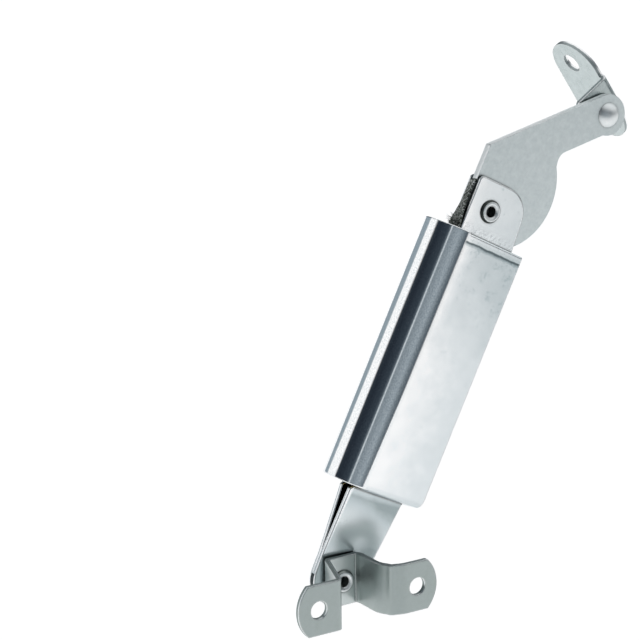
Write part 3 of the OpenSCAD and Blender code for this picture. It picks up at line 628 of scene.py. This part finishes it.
# Unlacquered brass gone dull, brownish yellow beside the grey zinc
brass = zinc("crimped_dull_brass", "#9c8a55", "#b3a067", (0.35, 0.5), mottle=2.0, relief=0.2)
dressed("strap_nipple", "cam_arm", brass)
dressed("strap_stop", "spring_cap", brass)

# Cam arm
# A plate blanked from 2.6 mm steel and barrel plated. It turns on the cam sleeve between the ears.
# Its faces are the matt skin of hot rolled plate, so they are even grey and finely pitted.
arm_zinc = zinc("matt_zinc_arm", "#d3dcdd", "#eef5f5", (0.36, 0.5), mottle=2.2, grain=0.5, relief=0.45,
                roll=0.12)
# The blanked edge is tumbled a little lighter than the faces, and hardly shows its bands
arm_edge = sheared("sheared_edge_arm", "#f1f4f4", "#f6f8f8")
dressed("cam_arm", "cam_arm", arm_zinc, arm_edge, lambda n, c: abs(n[:, 1]) < 0.1)

# Lid bracket
# Blanked and bent from 1.6 mm sheet: an oblong flange with two screw holes and an ear, which the upper
# rivet holds loosely to the arm's end. It is bright zinc plated in the barrel.
FLANGE_TURN = math.radians(55.4)
FLANGE = np.array((math.sin(FLANGE_TURN), 0, math.cos(FLANGE_TURN)))
BEND = np.cross(FLANGE, (0, 1, 0))
# Half the ear's width, and where the bend starts and ends from the housing's middle plane, in mm
EAR_HALF, BEND_FROM, BEND_TO = 7.4, 4.75, 8


def lid_cut(n, c):
    """Cut faces: upright to the flange on the flange, level through the ear on the ear, and square to
    the bend's line on the bend between them."""
    up, out = n @ FLANGE, c[:, 1] - PLATE_Y / MM
    aside = abs((c - (UPPER_PIVOT[0], 0, UPPER_PIVOT[1])) @ BEND)
    bend = (out < BEND_TO) & (aside < EAR_HALF) & (abs(n @ BEND) < 0.3)
    return np.where(out > BEND_FROM, (abs(up) < 0.5) & ~bend, (abs(n[:, 1]) < 0.1) & (abs(up) < 0.8))


# Shinier than the wall bracket and more closely clouded, with a bright rim round the flange
lid_zinc = zinc("bright_zinc_lid_bracket", "#b6c0c0", "#ccd5d5", (0.25, 0.36), mottle=2.5, relief=0.2,
                reach=0.15)
lid_edge = sheared("sheared_edge_lid_bracket", "#aab3b4", "#ffffff")
dressed("lid_bracket", "lid_bracket", lid_zinc, lid_edge, lid_cut,
        die=lambda n, c: n @ (FLANGE + np.array(N)))

# Floor, light and camera
# A plain white floor far enough below for the stay to swing, soft white light all round, and grey
# screens in front of the nose and beside the camera, which the bright metal mirrors as bands.
FLOOR_Z = -0.25
# The camera's right and down as fitted to the photo, in the housing's axes, made square to each other
right = 0.7733 * W + 0.3750 * U + 0.5112 * N
down = 0.3156 * W - 0.9270 * U + 0.2026 * N
ahead = right.cross(down).normalized()
right = down.cross(ahead).normalized()
down = ahead.cross(right)
place = Vector((-0.31604, -0.50747, 0.24319))
camera = bpy.data.objects.new("camera", bpy.data.cameras.new("camera"))
bpy.context.scene.collection.objects.link(camera)
camera.matrix_world = Matrix((
    (right.x, -down.x, -ahead.x, place.x), (right.y, -down.y, -ahead.y, place.y),
    (right.z, -down.z, -ahead.z, place.z), (0, 0, 0, 1)))
camera.data.sensor_width = 36
camera.data.lens = 112.5
camera.data.clip_start = 0.01
bpy.context.scene.camera = camera

# Matt white paper, lifted to pure white for the camera and in mirrors, that still takes a shadow
m, t = blank("white_floor")
rays = node(t, "LightPath").node.outputs
seen = node(t, "Math", {0: rays["Is Camera Ray"], 1: rays["Is Glossy Ray"]}, operation="MAXIMUM")
seen = node(t, "Math", {0: seen, 1: rays["Is Transmission Ray"]}, operation="MAXIMUM")
lift = node(t, "MapRange", {"Value": seen}, To_Min=0.0, To_Max=0.6)
paper = node(t, "TexNoise", {"Vector": node(t, "TexCoord").node.outputs["Object"]}, Scale=20.0)
white = node(t, "ValToRGB", {"Fac": paper}, ((0.3, "#d8d8d8"), (0.7, "#dadada")))
matt = node(t, "BsdfDiffuse", {"Color": white})
glow = node(t, "Emission", {"Strength": lift}, Color="#ffffff")
node(t, "OutputMaterial", {"Surface": node(t, "AddShader", {0: matt, 1: glow})})
mesh = bpy.data.meshes.new("floor")
floor_corners = ((-10, -1.1), (14, -1.1), (14, 17), (-10, 17))
mesh.from_pydata([(x, y, FLOOR_Z) for x, y in floor_corners], [], [(0, 1, 2, 3)])
mesh.materials.append(m)
floor = bpy.data.objects.new("floor", mesh)
bpy.context.scene.collection.objects.link(floor)

world = bpy.data.worlds.new("studio")
bpy.context.scene.world = world
world.use_nodes = True
t = world.node_tree
t.nodes.clear()
way = node(t, "TexCoord").node.outputs["Generated"]


def pointing(direction):
    """How far a ray's direction points along the given one."""
    n = node(t, "VectorMath", {0: way}, operation="DOT_PRODUCT").node
    n.inputs[1].default_value = direction
    return n.outputs["Value"]


# The screens by their angle round the housing in degrees, 0 in front of the nose and 90 towards the wall
turn = node(t, "Math", {0: pointing(N), 1: pointing(-W)}, operation="ARCTAN2")
turn = node(t, "MapRange", {"Value": turn}, From_Min=-math.pi, From_Max=math.pi)
screens = ((-180, "#f4f4f4"), (-125, "#eaeef0"), (-118, "#8d9aa3"), (-58, "#93a0a8"), (-53, "#ffffff"),
           (-17, "#ffffff"), (-11, "#2c343c"), (5, "#252c35"), (40, "#363f48"), (48, "#5f6971"),
           (51, "#e4ebef"), (55, "#7f8990"), (88, "#98a2a9"), (108, "#6a747b"), (119, "#4a535b"),
           (122, "#ffffff"), (180, "#ffffff"))
bands = node(t, "ValToRGB", {"Fac": turn}, [((a + 180) / 360, tone) for a, tone in screens])
# A grey card under the stay and a darker one over it, by height along the housing; its ends stay light
height = node(t, "MapRange", {"Value": pointing(U)}, From_Min=-1.0, From_Max=1.0)
cards = node(t, "ValToRGB", {"Fac": height}, (
    (0.12, "#ffffff"), (0.22, "#b9c0c3"), (0.31, "#b9c0c3"), (0.42, "#ffffff"), (0.60, "#ffffff"),
    (0.67, "#4c555a"), (0.75, "#4c555a"), (0.82, "#ffffff")))
lengthwise = node(t, "Math", {0: pointing(U)}, operation="ABSOLUTE")
beyond = node(t, "MapRange", {"Value": lengthwise}, interpolation_type="SMOOTHSTEP",
              From_Min=0.35, From_Max=0.75)
round_about = node(t, "MixRGB", {"Fac": beyond, "Color1": bands}, Color2="#f4f6f7")
light = node(t, "MixRGB", {"Color1": round_about, "Color2": cards}, blend_type="MULTIPLY", Fac=1.0)
node(t, "OutputWorld", {"Surface": node(t, "Background", {"Color": light}, Strength=1.05)})

view = bpy.context.scene.view_settings
view.view_transform = "Standard"
bpy.context.view_layer.update()
